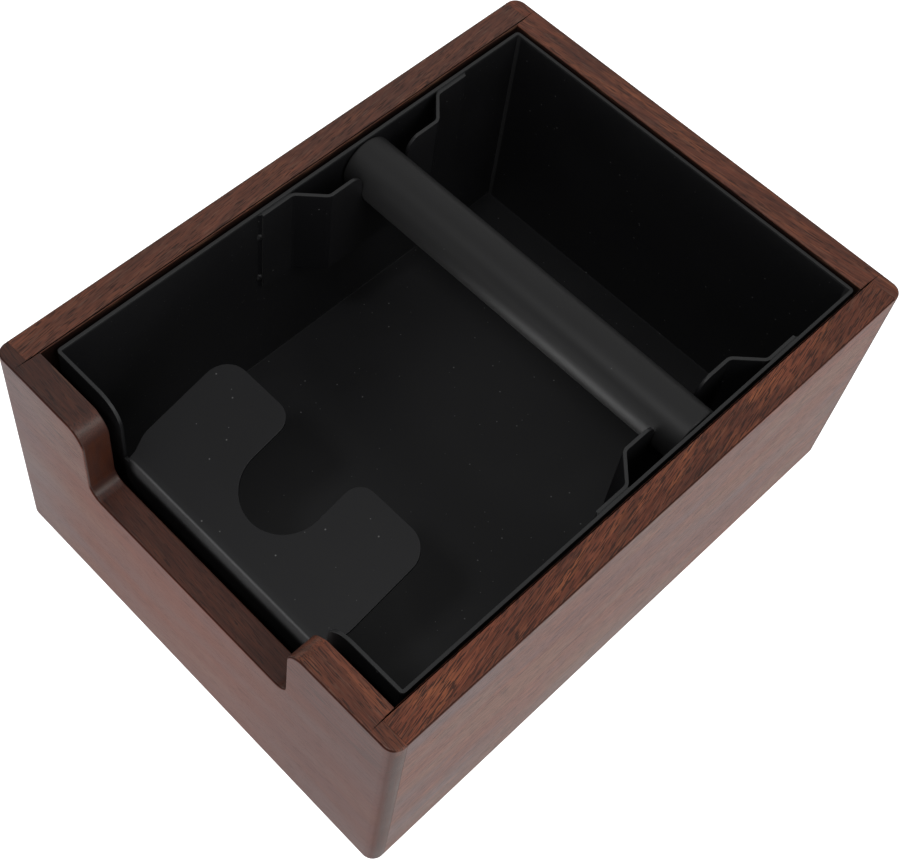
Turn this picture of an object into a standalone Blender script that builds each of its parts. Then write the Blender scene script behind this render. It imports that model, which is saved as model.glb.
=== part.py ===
"""Espresso knock box: a wooden case, a sheet-metal liner that lifts out, and a padded knock bar.

X is the case's width, Y its length with the notched front board at -Y, and Z is up. The origin is
the middle of the base, at the height of the surface that the rubber feet stand on.
"""

import math

import bmesh
import bpy
from mathutils import Matrix, Vector

# Wooden case, in metres.
CASE_WIDTH = 0.177
CASE_LENGTH = 0.235
BOARD_HEIGHT = 0.100
BOARD_THICKNESS = 0.0103
CORNER_RADIUS = 0.0045
TOP_EDGE_RADIUS = 0.0013
BOTTOM_EDGE_RADIUS = 0.0008
HOUSING_DEPTH = 0.005  # how far the side boards run into the front and back boards
REBATE_DEPTH = 0.005  # how far the base board runs into the walls
BASE_THICKNESS = 0.008
GLUE_GAP = 0.0003

# Notch in the front board, for the portafilter's neck.
NOTCH_HALF_WIDTH = 0.0454
NOTCH_HEIGHT = 0.067  # of its floor above the board's lower edge
NOTCH_SHOULDER_RADIUS = 0.008
NOTCH_CORNER_RADIUS = 0.005

# Rubber feet, let into the base board and screwed to it.
FOOT_STANDS_PROUD = 0.002
FOOT_RECESS_DEPTH = 0.0033
FOOT_RADIUS = 0.0075
FOOT_CLEARANCE = 0.0003
FOOT_INSET = 0.018  # of its centre from the case's outer faces
SCREW_HEAD_RADIUS = 0.0032
SCREW_SHANK_RADIUS = 0.0015

# Liner, of folded sheet.
SHEET = 0.0012
LINER_HALF_WIDTH = 0.0768
LINER_FRONT_Y = -0.1026
LINER_BACK_Y = 0.1064
LINER_BELOW_CASE_TOP = 0.0015
LINER_CORNER_RADIUS = 0.002
LINER_NOTCH_HALF_WIDTH = 0.0465
LINER_NOTCH_RADIUS = 0.010

# Forked rest, folded inwards from the liner's front wall and rising towards its far edge.
REST_RISE_DEG = 17.2
REST_FOLD_ABOVE_BASE = 0.0738  # fold line above the boards' lower edge
REST_FOLD_HALF_WIDTH = 0.0443
REST_HALF_WIDTH = 0.0468
REST_LENGTH = 0.0455
REST_OUTER_RADIUS = 0.009
REST_INNER_RADIUS = 0.0065
FORK_RADIUS = 0.0148
FORK_CENTRE = 0.0275  # along the rest from the fold line
FOLD_SETBACK = 0.0016
RELIEF_DEPTH = 0.003

# Knock bar and the two hat-section brackets that carry it.
BAR_Y = 0.0290
BAR_AXIS_ABOVE_BASE = 0.088
BAR_RADIUS = 0.0104
BAR_HALF_LENGTH = 0.0752
CORE_RADIUS = 0.006
CORE_CLEARANCE = 0.0003
BAR_END_RADIUS = 0.0008
BRACKET_HEIGHT = 0.040
BRACKET_WALL_GAP = 0.0003
BRACKET_STAND_OFF = 0.0088  # of the web from the flanges
BRACKET_HALF_LENGTH = 0.048
BRACKET_FOOT_HALF = 0.0343  # where the slopes leave the flanges
BRACKET_WEB_HALF = 0.0255
BRACKET_FOLD_SETBACK = 0.0012
SLOT_CLEARANCE = 0.0003
SLOT_LEAD_IN_RADIUS = 0.006

# Heights that follow.
CASE_BOTTOM = FOOT_STANDS_PROUD
CASE_TOP = CASE_BOTTOM + BOARD_HEIGHT
BASE_TOP = CASE_BOTTOM + BASE_THICKNESS
LINER_BOTTOM = BASE_TOP + GLUE_GAP
LINER_TOP = CASE_TOP - LINER_BELOW_CASE_TOP
REST_FOLD_Z = CASE_BOTTOM + REST_FOLD_ABOVE_BASE
BAR_Z = CASE_BOTTOM + BAR_AXIS_ABOVE_BASE
BRACKET_TOP = LINER_TOP - 0.0005

# Plan half-sizes that follow.
OUTER_X = CASE_WIDTH / 2
OUTER_Y = CASE_LENGTH / 2
INNER_X = OUTER_X - BOARD_THICKNESS
INNER_Y = OUTER_Y - BOARD_THICKNESS

OVERSIZE = 0.010  # how far a cutter runs past what it cuts
DEGREES_PER_SEGMENT = 15
MERGE = 0.00001


def clear_scene():
    for obj in list(bpy.data.objects):
        bpy.data.objects.remove(obj, do_unlink=True)


def collection(name, helper=False):
    group = bpy.data.collections.new(name)
    bpy.context.scene.collection.children.link(group)
    group.hide_render = helper
    return group


def material(name, colour, roughness, metallic=0.0):
    mat = bpy.data.materials.new(name)
    mat.use_nodes = True
    shader = mat.node_tree.nodes["Principled BSDF"]
    shader.inputs["Base Color"].default_value = (*colour, 1.0)
    shader.inputs["Roughness"].default_value = roughness
    shader.inputs["Metallic"].default_value = metallic
    return mat


def holder(name, location):
    empty = bpy.data.objects.new(name, None)
    empty.location = location
    empty.empty_display_size = 0.02
    PARTS.objects.link(empty)
    return empty


def as_part(obj, mat, parent):
    """Files an object under the knock box, gives it its material and hangs it on its body's empty."""
    PARTS.objects.link(obj)
    obj.data.materials.clear()
    obj.data.materials.append(mat)
    obj.parent = parent
    obj.matrix_parent_inverse = Matrix.Translation(-parent.location)
    return obj


def as_cutter(obj):
    CUTTERS.objects.link(obj)
    obj.hide_render = True
    obj.display_type = "WIRE"
    return obj


def object_from(name, bm):
    mesh = bpy.data.meshes.new(name)
    bm.to_mesh(mesh)
    bm.free()
    return bpy.data.objects.new(name, mesh)


def bevel(bm, edges, radius, segments):
    bmesh.ops.bevel(
        bm, geom=edges, offset=radius, segments=segments, profile=0.5, affect="EDGES"
    )


def box_mesh(size):
    bm = bmesh.new()
    bmesh.ops.create_cube(bm, size=1.0, matrix=Matrix.Diagonal((*size, 1.0)))
    return bm


def box(name, low, high):
    """A box between two corners, with its origin in its middle."""
    low, high = Vector(low), Vector(high)
    obj = object_from(name, box_mesh(high - low))
    obj.location = (low + high) / 2
    return obj


def rounded_outline(corners):
    """The points of a closed outline, given as (u, v, radius) corners, with each corner made an arc."""
    points = []
    for i, (u, v, radius) in enumerate(corners):
        here = Vector((u, v))
        if not radius:
            points.append(here)
            continue
        before = (Vector(corners[i - 1][:2]) - here).normalized()
        after = (Vector(corners[(i + 1) % len(corners)][:2]) - here).normalized()
        half = before.angle(after) / 2
        centre = here + (before + after).normalized() * radius / math.sin(half)
        start = here + before * radius / math.tan(half) - centre
        turn = start.angle_signed(here + after * radius / math.tan(half) - centre)
        steps = max(2, math.ceil(abs(math.degrees(turn)) / DEGREES_PER_SEGMENT - 1e-6))
        for step in range(steps + 1):
            # angle_signed counts clockwise, so the arc turns by its negative.
            angle = -turn * step / steps
            cos, sin = math.cos(angle), math.sin(angle)
            turned = (start.x * cos - start.y * sin, start.x * sin + start.y * cos)
            points.append(centre + Vector(turned))
    return points


def plate(name, corners, thickness):
    """A flat plate with a rounded outline in its own XY plane, its thickness shared about that plane."""
    points = rounded_outline(corners)
    curve = bpy.data.curves.new(name, "CURVE")
    curve.dimensions = "2D"
    curve.fill_mode = "BOTH"
    curve.extrude = thickness / 2
    spline = curve.splines.new("POLY")
    spline.points.add(len(points) - 1)
    for spline_point, point in zip(spline.points, points):
        spline_point.co = (point.x, point.y, 0.0, 1.0)
    spline.use_cyclic_u = True
    drawn = bpy.data.objects.new(name, curve)
    bpy.context.scene.collection.objects.link(drawn)
    graph = bpy.context.evaluated_depsgraph_get()
    mesh = bpy.data.meshes.new_from_object(drawn.evaluated_get(graph))
    bpy.data.objects.remove(drawn, do_unlink=True)
    bpy.data.curves.remove(curve)
    bm = bmesh.new()
    bm.from_mesh(mesh)
    bpy.data.meshes.remove(mesh)
    bmesh.ops.remove_doubles(bm, verts=bm.verts, dist=MERGE)
    bmesh.ops.recalc_face_normals(bm, faces=bm.faces)
    return object_from(name, bm)


def turned(name, profile, steps, closed=False):
    """A shape turned about its own Z axis from (radius, height) points that run down its outer side."""
    bm = bmesh.new()
    verts = [bm.verts.new((radius, 0.0, height)) for radius, height in profile]
    for i in range(len(verts) - 1):
        bm.edges.new((verts[i], verts[i + 1]))
    if closed:
        bm.edges.new((verts[-1], verts[0]))
    obj = object_from(name, bm)
    screw = obj.modifiers.new("Turn", "SCREW")
    screw.axis = "Z"
    screw.angle = math.tau
    screw.steps = steps
    screw.render_steps = steps
    screw.use_merge_vertices = True
    screw.merge_threshold = MERGE
    screw.use_smooth_shade = True
    return obj


def combine(obj, other, operation):
    modifier = obj.modifiers.new(f"{operation.title()} {other.name}", "BOOLEAN")
    modifier.operation = operation
    modifier.solver = "EXACT"
    modifier.object = other


def case_envelope():
    """The glued case's outside, whose rounded corners and edges run across the boards' joints."""
    bm = box_mesh((CASE_WIDTH, CASE_LENGTH, BOARD_HEIGHT))
    upright = [e for e in bm.edges if abs(e.verts[0].co.z - e.verts[1].co.z) > MERGE]
    bevel(bm, upright, CORNER_RADIUS, 5)
    half = BOARD_HEIGHT / 2
    top = [e for e in bm.edges if all(v.co.z > half - MERGE for v in e.verts)]
    bevel(bm, top, TOP_EDGE_RADIUS, 2)
    bottom = [e for e in bm.edges if all(v.co.z < MERGE - half for v in e.verts)]
    bevel(bm, bottom, BOTTOM_EDGE_RADIUS, 1)
    obj = object_from("case_envelope", bm)
    obj.location = (0.0, 0.0, CASE_BOTTOM + half)
    return as_cutter(obj)


def notch_cutter():
    """The opening in the front board, with rounded shoulders and floor corners."""
    top = BOARD_HEIGHT + 0.0002
    outer = NOTCH_HALF_WIDTH + NOTCH_SHOULDER_RADIUS
    right = [
        (NOTCH_HALF_WIDTH, NOTCH_HEIGHT, NOTCH_CORNER_RADIUS),
        (NOTCH_HALF_WIDTH, top, NOTCH_SHOULDER_RADIUS),
        (outer + 0.001, top, 0),
        (outer + 0.001, top + OVERSIZE, 0),
    ]
    left = [(-u, v, radius) for u, v, radius in reversed(right)]
    obj = plate("notch_cutter", right + left, BOARD_THICKNESS + 2 * OVERSIZE)
    obj.rotation_euler = (math.pi / 2, 0.0, 0.0)
    obj.location = (0.0, BOARD_THICKNESS / 2 - OUTER_Y, CASE_BOTTOM)
    return as_cutter(obj)


def mirrored_pair(side, near, far):
    """The two distances on one side of the middle, lower value first."""
    return sorted((side * near, side * far))


def housing_cutter(name, side):
    """What the side board on one side takes out of the ends of the front and back boards."""
    low_x, high_x = mirrored_pair(side, INNER_X - GLUE_GAP, OUTER_X + OVERSIZE)
    end = INNER_Y + HOUSING_DEPTH
    low = (low_x, -end, CASE_BOTTOM - OVERSIZE)
    return as_cutter(box(name, low, (high_x, end, CASE_TOP + OVERSIZE)))


def rebate_cutter():
    """What the base board takes out of the walls' lower edge."""
    half_x, half_y = INNER_X + REBATE_DEPTH, INNER_Y + REBATE_DEPTH
    low = (-half_x, -half_y, CASE_BOTTOM - OVERSIZE)
    return as_cutter(box("rebate_cutter", low, (half_x, half_y, BASE_TOP + GLUE_GAP)))


def make_case(parent):
    """Front and back boards that house the side boards' ends, all four rebated for the base board."""
    bottom, top = CASE_BOTTOM - OVERSIZE, CASE_TOP + OVERSIZE
    envelope = case_envelope()
    rebate = rebate_cutter()
    housings = (housing_cutter("left_housing_cutter", -1), housing_cutter("right_housing_cutter", 1))
    boards = {}
    for name, side in (("front_board", -1), ("back_board", 1)):
        low_y, high_y = mirrored_pair(side, INNER_Y, OUTER_Y + OVERSIZE)
        half_x = OUTER_X + OVERSIZE
        boards[name] = box(name, (-half_x, low_y, bottom), (half_x, high_y, top))
        for housing in housings:
            combine(boards[name], housing, "DIFFERENCE")
    for name, side in (("left_board", -1), ("right_board", 1)):
        low_x, high_x = mirrored_pair(side, INNER_X, OUTER_X + OVERSIZE)
        half_y = INNER_Y + HOUSING_DEPTH - GLUE_GAP
        boards[name] = box(name, (low_x, -half_y, bottom), (high_x, half_y, top))
    for board in boards.values():
        as_part(board, WOOD, parent)
        combine(board, envelope, "INTERSECT")
        combine(board, rebate, "DIFFERENCE")
    combine(boards["front_board"], notch_cutter(), "DIFFERENCE")


def make_base(parent):
    """The base board, with a blind recess for each foot and a pilot hole for its screw."""
    half_x = INNER_X + REBATE_DEPTH - GLUE_GAP
    half_y = INNER_Y + REBATE_DEPTH - GLUE_GAP
    base = box("base_board", (-half_x, -half_y, CASE_BOTTOM), (half_x, half_y, BASE_TOP))
    as_part(base, PLYWOOD, parent)
    recess_radius = FOOT_RADIUS + FOOT_CLEARANCE
    hole_radius = SCREW_SHANK_RADIUS + FOOT_CLEARANCE
    hole_top = BASE_TOP - 0.001 - CASE_BOTTOM
    recess = [
        (0.0, hole_top),
        (hole_radius, hole_top),
        (hole_radius, FOOT_RECESS_DEPTH),
        (recess_radius, FOOT_RECESS_DEPTH),
        (recess_radius, -OVERSIZE),
        (0.0, -OVERSIZE),
    ]
    foot_x, foot_y = OUTER_X - FOOT_INSET, OUTER_Y - FOOT_INSET
    for end, side_y in (("front", -1), ("back", 1)):
        for hand, side_x in (("left", -1), ("right", 1)):
            place = (side_x * foot_x, side_y * foot_y, CASE_BOTTOM)
            cutter = as_cutter(turned(f"recess_cutter_{end}_{hand}", recess, 32))
            cutter.location = place
            combine(base, cutter, "DIFFERENCE")
            make_foot(f"foot_{end}_{hand}", place, parent)
            make_foot_screw(f"foot_screw_{end}_{hand}", place, parent)


def make_foot(name, place, parent):
    """A rubber disc with a stepped bore, its origin level with the case's lower edge."""
    top = FOOT_RECESS_DEPTH - FOOT_CLEARANCE
    bore = SCREW_SHANK_RADIUS + FOOT_CLEARANCE
    sink = SCREW_HEAD_RADIUS + 2 * FOOT_CLEARANCE
    seat = 0.0008
    round_off = 0.0006
    profile = [
        (bore, top),
        (FOOT_RADIUS, top),
        (FOOT_RADIUS, round_off - FOOT_STANDS_PROUD),
        (FOOT_RADIUS - round_off, -FOOT_STANDS_PROUD),
        (sink, -FOOT_STANDS_PROUD),
        (sink, seat),
        (bore, seat),
    ]
    foot = as_part(turned(name, profile, 32, closed=True), RUBBER, parent)
    foot.location = place


def make_foot_screw(name, place, parent):
    """A pan-head wood screw, driven up through its foot, with a cross recess in its head."""
    head_top = 0.0005
    head_face = -0.0012
    tip = BASE_THICKNESS - 0.0015
    profile = [
        (0.0, tip),
        (SCREW_SHANK_RADIUS, tip - 0.0015),
        (SCREW_SHANK_RADIUS, head_top),
        (SCREW_HEAD_RADIUS, head_top),
        (SCREW_HEAD_RADIUS, head_face + 0.0007),
        (SCREW_HEAD_RADIUS * 0.75, head_face + 0.0001),
        (0.0, head_face),
    ]
    screw = as_part(turned(name, profile, 24), STEEL, parent)
    screw.location = place
    slot = 0.00035
    for i, (half_x, half_y) in enumerate(((0.0018, slot), (slot, 0.0018))):
        low = (place[0] - half_x, place[1] - half_y, place[2] + head_face - OVERSIZE)
        high = (place[0] + half_x, place[1] + half_y, place[2] + head_face + 0.0009)
        combine(screw, as_cutter(box(f"{name}_cross_{i}", low, high)), "DIFFERENCE")


def front_wall_outline():
    """The liner's front wall as (x, z) corners: two uprights with rounded tops, joined below the fold."""
    relief = REST_FOLD_Z - RELIEF_DEPTH
    right = [
        (LINER_HALF_WIDTH, LINER_BOTTOM, 0),
        (LINER_HALF_WIDTH, LINER_TOP, 0),
        (LINER_NOTCH_HALF_WIDTH, LINER_TOP, LINER_NOTCH_RADIUS),
        (LINER_NOTCH_HALF_WIDTH, relief, 0),
        (REST_FOLD_HALF_WIDTH, relief, 0),
        (REST_FOLD_HALF_WIDTH, REST_FOLD_Z, 0),
    ]
    return right + [(-x, z, radius) for x, z, radius in reversed(right)]


def rest_outline():
    """The forked rest as (x, distance from the fold line) corners."""
    right = [
        (REST_FOLD_HALF_WIDTH, 0.0, 0),
        (REST_FOLD_HALF_WIDTH, 0.0025, 0.008),
        (REST_HALF_WIDTH, 0.009, 0.012),
        (REST_HALF_WIDTH, REST_LENGTH, REST_OUTER_RADIUS),
        (FORK_RADIUS, REST_LENGTH, REST_INNER_RADIUS),
        (FORK_RADIUS, FORK_CENTRE - FORK_RADIUS, FORK_RADIUS * 0.9999),
    ]
    return right + [(-x, s, radius) for x, s, radius in reversed(right)]


def make_liner(parent):
    """One sheet: an open pan whose front wall is cut out and folded inwards as the forked rest."""
    length = LINER_BACK_Y - LINER_FRONT_Y
    height = LINER_TOP - LINER_BOTTOM
    middle = Vector((0.0, (LINER_FRONT_Y + LINER_BACK_Y) / 2, (LINER_TOP + LINER_BOTTOM) / 2))
    bm = box_mesh((2 * LINER_HALF_WIDTH, length, height))
    bmesh.ops.translate(bm, verts=bm.verts, vec=middle)
    open_faces = [f for f in bm.faces if f.normal.z > 0.5 or f.normal.y < -0.5]
    bmesh.ops.delete(bm, geom=open_faces, context="FACES_ONLY")

    wall = [bm.verts.new((p.x, LINER_FRONT_Y, p.y)) for p in rounded_outline(front_wall_outline())]
    bm.faces.new(wall)
    rise = math.radians(REST_RISE_DEG)
    rest = []
    for point in rounded_outline(rest_outline()):
        y = LINER_FRONT_Y + point.y * math.cos(rise)
        z = REST_FOLD_Z + point.y * math.sin(rise)
        rest.append(bm.verts.new((point.x, y, z)))
    bm.faces.new(rest)
    bmesh.ops.remove_doubles(bm, verts=bm.verts, dist=MERGE)
    bmesh.ops.recalc_face_normals(bm, faces=bm.faces)
    floor = min(bm.faces, key=lambda face: face.calc_center_median().z)
    if floor.normal.z > 0:
        bmesh.ops.reverse_faces(bm, faces=bm.faces)

    folds = []
    for edge in bm.edges:
        if len(edge.link_faces) == 2 and all(abs(v.co.z - REST_FOLD_Z) < MERGE for v in edge.verts):
            folds.append(edge)
    bevel(bm, folds, FOLD_SETBACK, 4)
    corners = []
    for edge in bm.edges:
        if len(edge.link_faces) == 2 and edge.calc_face_angle() > math.radians(80):
            corners.append(edge)
    bevel(bm, corners, LINER_CORNER_RADIUS, 3)
    bmesh.ops.translate(bm, verts=bm.verts, vec=-parent.location)
    pan = as_part(object_from("liner_pan", bm), POWDER_COAT, parent)
    pan.location = parent.location
    solidify(pan, SHEET, -1.0)


def solidify(obj, thickness, offset):
    modifier = obj.modifiers.new("Sheet", "SOLIDIFY")
    modifier.thickness = thickness
    modifier.offset = offset
    modifier.use_even_offset = True
    modifier.use_quality_normals = True


def bar_slot_cutter():
    """The open-topped slot in a bracket's web: a half-round seat with rounded lead-ins at its mouth."""
    seat = BAR_RADIUS + SLOT_CLEARANCE
    top = BRACKET_TOP - BAR_Z + 0.0001
    right = [
        (seat, -seat, seat * 0.9999),
        (seat, top, SLOT_LEAD_IN_RADIUS),
        (seat + SLOT_LEAD_IN_RADIUS + 0.0005, top, 0),
        (seat + SLOT_LEAD_IN_RADIUS + 0.0005, top + OVERSIZE, 0),
    ]
    left = [(-u, v, radius) for u, v, radius in reversed(right)]
    obj = plate("bar_slot_cutter", right + left, CASE_WIDTH)
    obj.rotation_euler = (math.pi / 2, 0.0, math.pi / 2)
    obj.location = (0.0, BAR_Y, BAR_Z)
    return as_cutter(obj)


def make_bracket(name, side, slot, parent):
    """A hat-section strip: two flanges on the pan's wall, two slopes and the slotted web between them."""
    flange_x = LINER_HALF_WIDTH - SHEET - BRACKET_WALL_GAP - SHEET / 2
    web_x = flange_x - BRACKET_STAND_OFF
    half = [
        (flange_x, BRACKET_HALF_LENGTH),
        (flange_x, BRACKET_FOOT_HALF),
        (web_x, BRACKET_WEB_HALF),
    ]
    line = [(x, -y) for x, y in half] + [(x, y) for x, y in reversed(half)]
    bm = bmesh.new()
    verts = [bm.verts.new((side * x, BAR_Y + y, BRACKET_TOP - BRACKET_HEIGHT)) for x, y in line]
    strip = [bm.edges.new(pair) for pair in zip(verts, verts[1:])]
    raised = bmesh.ops.extrude_edge_only(bm, edges=strip)["geom"]
    upper = [v for v in raised if isinstance(v, bmesh.types.BMVert)]
    bmesh.ops.translate(bm, verts=upper, vec=(0.0, 0.0, BRACKET_HEIGHT))
    folds = [e for e in bm.edges if len(e.link_faces) == 2]
    bevel(bm, folds, BRACKET_FOLD_SETBACK, 2)
    bracket = as_part(object_from(name, bm), POWDER_COAT, parent)
    solidify(bracket, SHEET, 0.0)
    combine(bracket, slot, "DIFFERENCE")


def make_brackets(parent):
    slot = bar_slot_cutter()
    make_bracket("left_bar_bracket", -1, slot, parent)
    make_bracket("right_bar_bracket", 1, slot, parent)


def make_bar(parent):
    """A steel rod in a rubber sleeve, both turned about the bar's axis and laid along X."""
    bore = CORE_RADIUS + CORE_CLEARANCE
    end, edge = BAR_HALF_LENGTH, BAR_END_RADIUS
    sleeve = [
        (bore, end),
        (BAR_RADIUS - edge, end),
        (BAR_RADIUS - edge * 0.3, end - edge * 0.3),
        (BAR_RADIUS, end - edge),
        (BAR_RADIUS, edge - end),
        (BAR_RADIUS - edge * 0.3, edge * 0.3 - end),
        (BAR_RADIUS - edge, -end),
        (bore, -end),
    ]
    rod_end = end - 0.001
    core = [
        (0.0, rod_end),
        (CORE_RADIUS - edge, rod_end),
        (CORE_RADIUS, rod_end - edge),
        (CORE_RADIUS, edge - rod_end),
        (CORE_RADIUS - edge, -rod_end),
        (0.0, -rod_end),
    ]
    shapes = (
        (turned("bar_sleeve", sleeve, 48, closed=True), BAR_RUBBER),
        (turned("bar_core", core, 32), STEEL),
    )
    for obj, mat in shapes:
        as_part(obj, mat, parent)
        obj.rotation_euler = (0.0, math.pi / 2, 0.0)
        obj.location = parent.location


clear_scene()
PARTS = collection("Knock box")
CUTTERS = collection("Cutters", helper=True)
WOOD = material("Stained walnut", (0.105, 0.045, 0.030), 0.42)
PLYWOOD = material("Stained base panel", (0.085, 0.040, 0.028), 0.60)
POWDER_COAT = material("Black powder coat", (0.012, 0.012, 0.013), 0.45)
BAR_RUBBER = material("Bar rubber", (0.022, 0.022, 0.023), 0.50)
RUBBER = material("Foot rubber", (0.015, 0.015, 0.015), 0.75)
STEEL = material("Zinc-plated steel", (0.62, 0.62, 0.63), 0.30, metallic=1.0)

CASE = holder("case", (0.0, 0.0, 0.0))
LINER = holder("liner", (0.0, 0.0, LINER_BOTTOM))
KNOCK_BAR = holder("knock_bar", (0.0, BAR_Y, BAR_Z))
make_case(CASE)
make_base(CASE)
make_liner(LINER)
make_brackets(LINER)
make_bar(KNOCK_BAR)
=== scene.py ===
"""Looks of an espresso knock box: a stained wooden case, a powder-coated liner and a padded knock bar.

Metres, in the frame's own axes: X is the case's width, Y its length with the notched board at -Y,
and Z is up.
"""

import math

import bmesh
import bpy
from mathutils import Matrix, Vector


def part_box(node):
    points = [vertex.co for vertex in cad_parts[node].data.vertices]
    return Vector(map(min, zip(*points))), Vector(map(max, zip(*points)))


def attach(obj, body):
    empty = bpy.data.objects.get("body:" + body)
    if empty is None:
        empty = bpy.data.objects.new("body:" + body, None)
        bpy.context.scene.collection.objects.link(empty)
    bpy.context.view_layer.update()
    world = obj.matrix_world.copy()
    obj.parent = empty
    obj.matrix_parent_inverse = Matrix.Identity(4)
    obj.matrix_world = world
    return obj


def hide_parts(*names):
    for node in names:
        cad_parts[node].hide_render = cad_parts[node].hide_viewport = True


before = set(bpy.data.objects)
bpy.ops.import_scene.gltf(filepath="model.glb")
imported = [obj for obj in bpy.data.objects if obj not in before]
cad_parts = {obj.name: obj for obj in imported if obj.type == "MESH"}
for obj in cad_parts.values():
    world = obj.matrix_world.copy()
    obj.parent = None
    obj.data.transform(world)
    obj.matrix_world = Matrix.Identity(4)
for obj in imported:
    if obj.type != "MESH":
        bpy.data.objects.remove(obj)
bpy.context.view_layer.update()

# Sizes of the case, from the frame.
FRONT_LOW, FRONT_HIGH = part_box("front_board")
SIDE_LOW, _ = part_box("right_board")
BASE_LOW, BASE_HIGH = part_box("base_board")
OUTER_X, OUTER_Y = FRONT_HIGH.x, -FRONT_LOW.y
CASE_BOTTOM, CASE_TOP = FRONT_LOW.z, FRONT_HIGH.z
INNER_X, INNER_Y = SIDE_LOW.x, -FRONT_HIGH.y
BOARD = OUTER_X - INNER_X

# Joinery that the frame's boxes don't give.
HOUSING_DEPTH = 0.005
JOINT_GAP = 0.00003  # between boards
JOINT_CORNER_RADIUS = 0.0016
CORNER_RADIUS = 0.0045
OUTER_EASE = 0.0008  # how round each kind of edge is
BOTTOM_EASE = 0.0007
INNER_EASE = 0.0005
JOINT_EASE = 0.00008
BASE_EASE = 0.0003
NEAR_OUTSIDE = 0.0015  # how close to the outer faces an edge counts as an outer one
REBATE_CLEARANCE = 0.0001
FOOT_CLEARANCE = 0.0003
SCREW_HOLE_RADIUS = 0.0018
NOTCH_HALF_WIDTH = 0.0454
NOTCH_FLOOR = CASE_BOTTOM + 0.067
NOTCH_SHOULDER_RADIUS = 0.008
NOTCH_CORNER_RADIUS = 0.005

# Liner.
PAN_LOW, PAN_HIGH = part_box("liner_pan")
SHEET = 0.0012
PAN_CORNER_RADIUS = 0.0015
PAN_NOTCH_HALF_WIDTH = 0.0465
PAN_NOTCH_RADIUS = 0.010
REST_RISE = math.radians(17.2)
REST_FOLD_Z = CASE_BOTTOM + 0.0738
REST_FOLD_HALF_WIDTH = 0.0443
REST_HALF_WIDTH = 0.0468
REST_LENGTH = 0.0455
REST_FLARE = ((0.0025, 0.005), (0.009, 0.012))  # from the fold: where it starts and ends, with radii
REST_OUTER_RADIUS = 0.009
REST_INNER_RADIUS = 0.0065
FORK_RADIUS = 0.0148
FORK_CENTRE = 0.0275
FOLD_SETBACK = 0.0010
RELIEF_DEPTH = 0.003
COAT_EDGE = 0.00018  # how round the powder coat leaves a cut edge

# Knock bar and its brackets.
SLEEVE_LOW, SLEEVE_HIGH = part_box("bar_sleeve")
CORE_LOW, CORE_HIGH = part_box("bar_core")
BAR_CENTRE = (SLEEVE_LOW + SLEEVE_HIGH) / 2
BAR_RADIUS = (SLEEVE_HIGH.z - SLEEVE_LOW.z) / 2
CORE_RADIUS = (CORE_HIGH.z - CORE_LOW.z) / 2
CORE_CLEARANCE = 0.0003
BRACKET_LOW, BRACKET_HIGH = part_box("right_bar_bracket")
FLANGE_X = BRACKET_HIGH.x - SHEET / 2
WEB_X = BRACKET_LOW.x + SHEET / 2
BRACKET_FOOT_HALF = 0.0343
BRACKET_WEB_HALF = 0.0255
BRACKET_SETBACK = 0.0012
SLOT_CLEARANCE = 0.0003
SLOT_LEAD_IN = 0.006
BEAD_SIZE = (0.0011, 0.0012, 0.0018)  # half sizes of a weld bead

OVERSIZE = 0.010  # how far a cutter runs past what it cuts
TOLERANCE = 0.00002
STEP_DEG = 7.5  # of each step along a rounded corner


# ---------------------------------------------------------------- mesh helpers


def linked(name, mesh):
    obj = bpy.data.objects.new(name, mesh)
    bpy.context.scene.collection.objects.link(obj)
    return obj


def object_from(name, bm):
    mesh = bpy.data.meshes.new(name)
    bm.to_mesh(mesh)
    bm.free()
    return linked(name, mesh)


def baked(obj):
    """Makes an object's modifiers part of its mesh."""
    graph = bpy.context.evaluated_depsgraph_get()
    mesh = bpy.data.meshes.new_from_object(obj.evaluated_get(graph))
    obj.modifiers.clear()
    obj.data = mesh
    return obj


def cut(obj, *cutters, operation="DIFFERENCE"):
    """Cuts other objects out of one, or keeps what it shares with them, and removes them."""
    for cutter in cutters:
        modifier = obj.modifiers.new("Cut", "BOOLEAN")
        modifier.operation = operation
        modifier.solver = "EXACT"
        modifier.object = cutter
    baked(obj)
    for cutter in cutters:
        bpy.data.objects.remove(cutter, do_unlink=True)
    return obj


def bevel(bm, edges, radius, segments):
    bmesh.ops.bevel(
        bm, geom=edges, offset=radius, segments=segments, profile=0.5, affect="EDGES"
    )


def rounded_outline(corners, step_deg=STEP_DEG):
    """The points of a closed outline, given as (u, v, radius) corners, with each corner made an arc."""
    points = []
    for i, (u, v, radius) in enumerate(corners):
        here = Vector((u, v))
        if not radius:
            points.append(here)
            continue
        before = (Vector(corners[i - 1][:2]) - here).normalized()
        after = (Vector(corners[(i + 1) % len(corners)][:2]) - here).normalized()
        half = before.angle(after) / 2
        centre = here + (before + after).normalized() * radius / math.sin(half)
        start = here + before * radius / math.tan(half) - centre
        turn = start.angle_signed(here + after * radius / math.tan(half) - centre)
        steps = max(2, math.ceil(abs(math.degrees(turn)) / step_deg - 1e-6))
        for step in range(steps + 1):
            # angle_signed counts clockwise, so the arc turns by its negative.
            points.append(centre + Matrix.Rotation(-turn * step / steps, 2) @ start)
    return points


def arc(centre, radius, start_deg, end_deg, steps):
    """Points along an arc, both ends included, as (u, v) pairs."""
    points = []
    for step in range(steps + 1):
        angle = math.radians(start_deg + (end_deg - start_deg) * step / steps)
        points.append((centre[0] + radius * math.cos(angle), centre[1] + radius * math.sin(angle)))
    return points


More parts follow.
